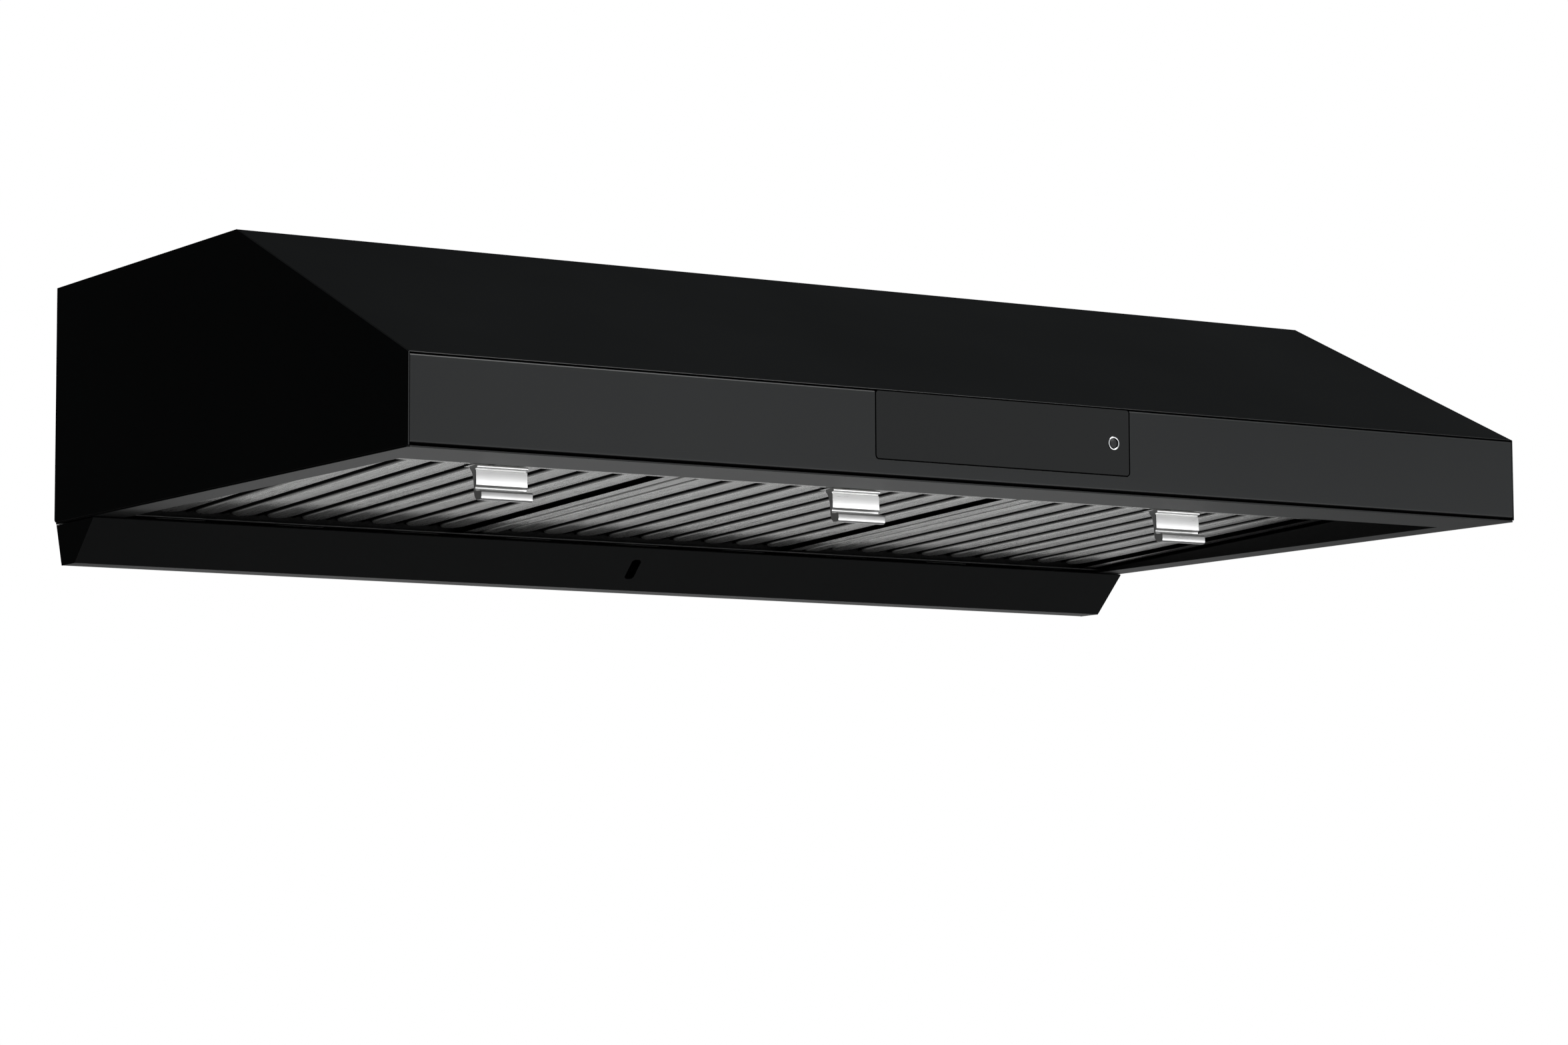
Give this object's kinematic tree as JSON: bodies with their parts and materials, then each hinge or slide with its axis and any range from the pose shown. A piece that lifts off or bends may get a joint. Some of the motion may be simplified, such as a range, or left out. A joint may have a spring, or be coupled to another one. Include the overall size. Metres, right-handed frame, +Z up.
{
  "type": "under cabinet range hood",
  "caption": "Wide black under cabinet range hood with a sloped front, glass control panel, baffle filters that tip down, and a grease tray.",
  "frame": {"origin": "middle of the flat top face that is screwed to the cabinet", "axes": "+X to the right seen from the front, the fascia faces -Y, the wall side is +Y, +Z up"},
  "size_m": [0.91, 0.5477, 0.229],
  "materials": {
    "black_coat": "satin",
    "zinc_steel": "satin",
    "black_glass": "gloss",
    "black_plastic": "matte",
    "board_green": "satin",
    "chrome_trim": "polished",
    "galvanised": "matte",
    "frosted_lens": "frosted",
    "aluminium": "satin",
    "stainless": "brushed"
  },
  "bodies": {
    "hood_body": {"wrap_panel": "black_coat", "rear_panel": "black_coat", "fascia_panel": "black_coat", "underside_rim": "black_coat", "lamp_panel": "black_coat", "rear_filter_rail": "black_coat", "left_side_panel": "black_coat", "right_side_panel": "black_coat", "tray_clip_strip": "zinc_steel", "damper_pin": "zinc_steel", "left_motor": "zinc_steel", "right_motor": "zinc_steel", "control_glass": "black_glass", "control_housing": "black_plastic", "power_module": "black_plastic", "control_board": "board_green", "button_ring": "chrome_trim", "left_lamp_ring": "chrome_trim", "right_lamp_ring": "chrome_trim", "outlet_box": "galvanised", "duct_collar": "galvanised", "junction_box": "galvanised", "junction_cover": "galvanised", "left_scroll_housing": "galvanised", "right_scroll_housing": "galvanised", "left_inlet_ring": "galvanised", "right_inlet_ring": "galvanised", "left_lamp_lens": "frosted_lens", "right_lamp_lens": "frosted_lens", "left_lamp_body": "aluminium", "right_lamp_body": "aluminium"},
    "left_filter": {"left_filter_frame": "stainless", "left_filter_front_baffles": "stainless", "left_filter_back_baffles": "stainless"},
    "left_latch": {"left_filter_latch_bar": "zinc_steel", "left_filter_handle": "aluminium"},
    "centre_filter": {"centre_filter_frame": "stainless", "centre_filter_front_baffles": "stainless", "centre_filter_back_baffles": "stainless"},
    "centre_latch": {"centre_filter_latch_bar": "zinc_steel", "centre_filter_handle": "aluminium"},
    "right_filter": {"right_filter_frame": "stainless", "right_filter_front_baffles": "stainless", "right_filter_back_baffles": "stainless"},
    "right_latch": {"right_filter_latch_bar": "zinc_steel", "right_filter_handle": "aluminium"},
    "grease_tray": {"grease_tray": "black_coat"},
    "damper": {"damper_flap": "galvanised"},
    "power_button": {"power_button": "black_plastic"},
    "left_wheel": {"left_impeller": "galvanised", "left_motor_shaft": "zinc_steel"},
    "right_wheel": {"right_impeller": "galvanised", "right_motor_shaft": "zinc_steel"}
  },
  "joints": [
    {"name": "left_filter_tilt", "type": "hinge", "parent": "hood_body", "child": "left_filter", "pos_m": [-0.287, 0.0781, -0.1691], "axis": [1, 0, 0], "range_deg": [0, 55]},
    {"name": "left_latch_pull", "type": "slide", "parent": "left_filter", "child": "left_latch", "axis": [0, 0.999, -0.0437], "range_m": [0, 0.005], "stiffness_N_per_m": 600},
    {"name": "centre_filter_tilt", "type": "hinge", "parent": "hood_body", "child": "centre_filter", "pos_m": [0, 0.0781, -0.1691], "axis": [1, 0, 0], "range_deg": [0, 55]},
    {"name": "centre_latch_pull", "type": "slide", "parent": "centre_filter", "child": "centre_latch", "axis": [0, 0.999, -0.0437], "range_m": [0, 0.005], "stiffness_N_per_m": 600},
    {"name": "right_filter_tilt", "type": "hinge", "parent": "hood_body", "child": "right_filter", "pos_m": [0.287, 0.0781, -0.1691], "axis": [1, 0, 0], "range_deg": [0, 55]},
    {"name": "right_latch_pull", "type": "slide", "parent": "right_filter", "child": "right_latch", "axis": [0, 0.999, -0.0437], "range_m": [0, 0.005], "stiffness_N_per_m": 600},
    {"name": "tray_drop", "type": "slide", "parent": "hood_body", "child": "grease_tray", "axis": [0, 0, -1], "range_m": [0, 0.02]},
    {"name": "damper_swing", "type": "hinge", "parent": "hood_body", "child": "damper", "pos_m": [0, 0.119, 0.0125], "axis": [-1, 0, 0], "range_deg": [0, 80]},
    {"name": "button_press", "type": "slide", "parent": "hood_body", "child": "power_button", "axis": [0, 1, 0], "range_m": [0, 0.001], "stiffness_N_per_m": 300},
    {"name": "left_wheel_spin", "type": "hinge", "parent": "hood_body", "child": "left_wheel", "pos_m": [-0.24, -0.0185, -0.063], "axis": [0, 0, 1], "continuous": true},
    {"name": "right_wheel_spin", "type": "hinge", "parent": "hood_body", "child": "right_wheel", "pos_m": [0.24, -0.0185, -0.063], "axis": [0, 0, 1], "continuous": true}
  ]
}
